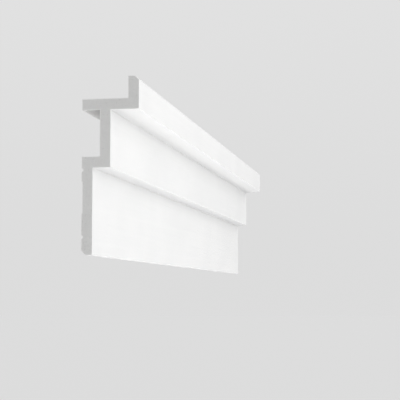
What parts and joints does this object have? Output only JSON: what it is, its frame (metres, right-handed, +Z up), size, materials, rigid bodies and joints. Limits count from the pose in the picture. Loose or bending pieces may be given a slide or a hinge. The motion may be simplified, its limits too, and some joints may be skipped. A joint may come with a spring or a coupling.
{
  "type": "cornice moulding length",
  "caption": "Stepped, thin-walled white cornice moulding in one length, square-cut at one end and mitred at the other for an inside corner.",
  "frame": {"origin": "on the wall plane, in the middle of the lower glue pad and at half the length", "axes": "+X along the moulding from the square end to the mitred end, +Y into the wall, so the room is at -Y, +Z up to the ceiling"},
  "size_m": [0.85, 0.0525, 0.16],
  "materials": {
    "primed_white": "matt white primer on rigid polyurethane foam"
  },
  "bodies": {
    "root": {"cornice_length": "primed_white"}
  },
  "joints": []
}
